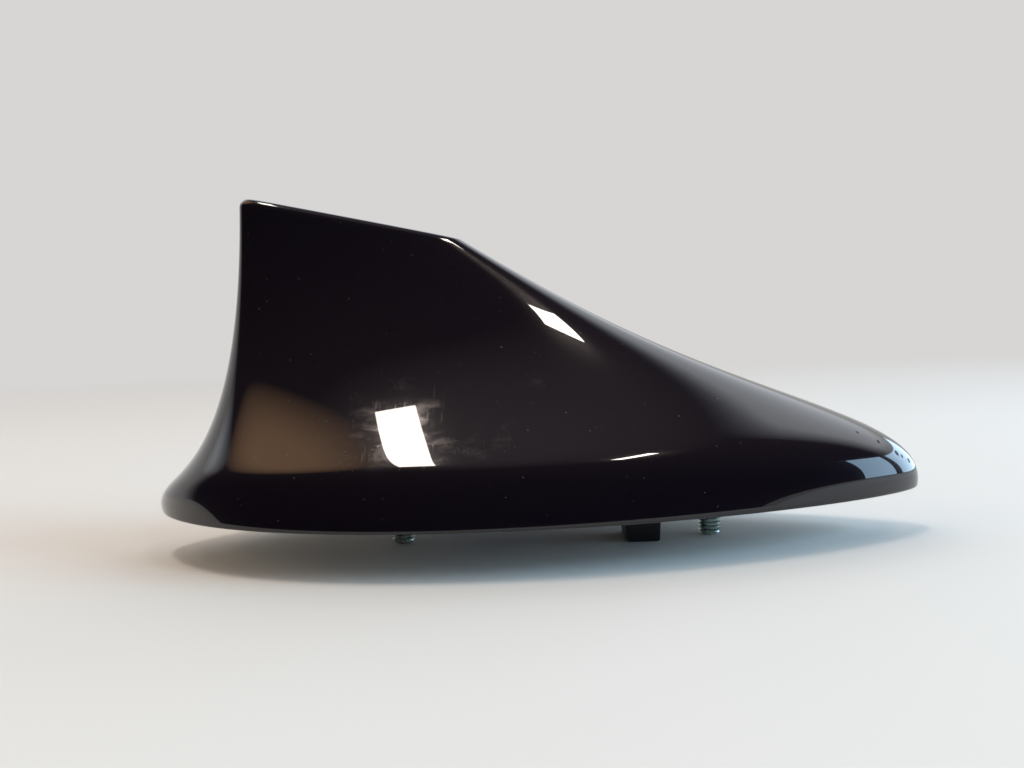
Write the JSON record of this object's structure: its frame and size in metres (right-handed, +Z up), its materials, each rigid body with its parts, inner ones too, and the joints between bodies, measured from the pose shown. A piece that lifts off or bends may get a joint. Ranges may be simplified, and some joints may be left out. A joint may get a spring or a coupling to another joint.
{
  "type": "roof antenna",
  "caption": "Shark-fin roof antenna for a car: dark gloss cover on a sealed base plate, with threaded fixing studs, a locating lug and coaxial sockets underneath.",
  "frame": {"origin": "midway between the two fixing studs on the roof plane", "axes": "+X towards the nose, the front of the car; +Z up, away from the roof; the pictured side is at -Y"},
  "size_m": [0.1674, 0.075, 0.077],
  "materials": {
    "cover_paint": "deep gloss lacquer, nearly black with a warm tint, chipped at the nose",
    "seal_rubber": "matt black rubber",
    "plate_metal": "as die-cast, satin",
    "foam": "closed-cell foam, matt dark grey",
    "zinc_steel": "zinc plated steel with a green-yellow passivation",
    "ring_metal": "tinned spring steel",
    "black_plastic": "fine-grained black moulding",
    "screw_metal": "zinc plated",
    "board": "green glass-epoxy board",
    "pad": "white adhesive foam",
    "ceramic": "pale fired ceramic",
    "contact_metal": "gilt brass",
    "can_metal": "tinned sheet",
    "blue_plastic": "blue moulding",
    "white_plastic": "white insulator",
    "bordeaux_plastic": "bordeaux moulding"
  },
  "bodies": {
    "root": {"cover": "cover_paint", "cover_seal": "seal_rubber", "base_plate": "plate_metal", "rim_seal": "seal_rubber", "aperture_seal": "foam", "fixing_studs": "zinc_steel", "earth_rings": "ring_metal", "locating_lug": "black_plastic", "cover_screws": "screw_metal", "receiver_board": "board", "board_screws": "screw_metal", "patch_pad": "pad", "gps_patch": "ceramic", "gps_feed_pin": "contact_metal", "shield_can": "can_metal", "fin_board": "board", "fin_holder": "black_plastic", "gps_socket_housing": "blue_plastic", "gps_socket_shell": "contact_metal", "gps_socket_insulator": "white_plastic", "gps_socket_pin": "contact_metal", "phone_socket_housing": "bordeaux_plastic", "phone_socket_shell": "contact_metal", "phone_socket_insulator": "white_plastic", "phone_socket_pin": "contact_metal"}
  },
  "joints": []
}
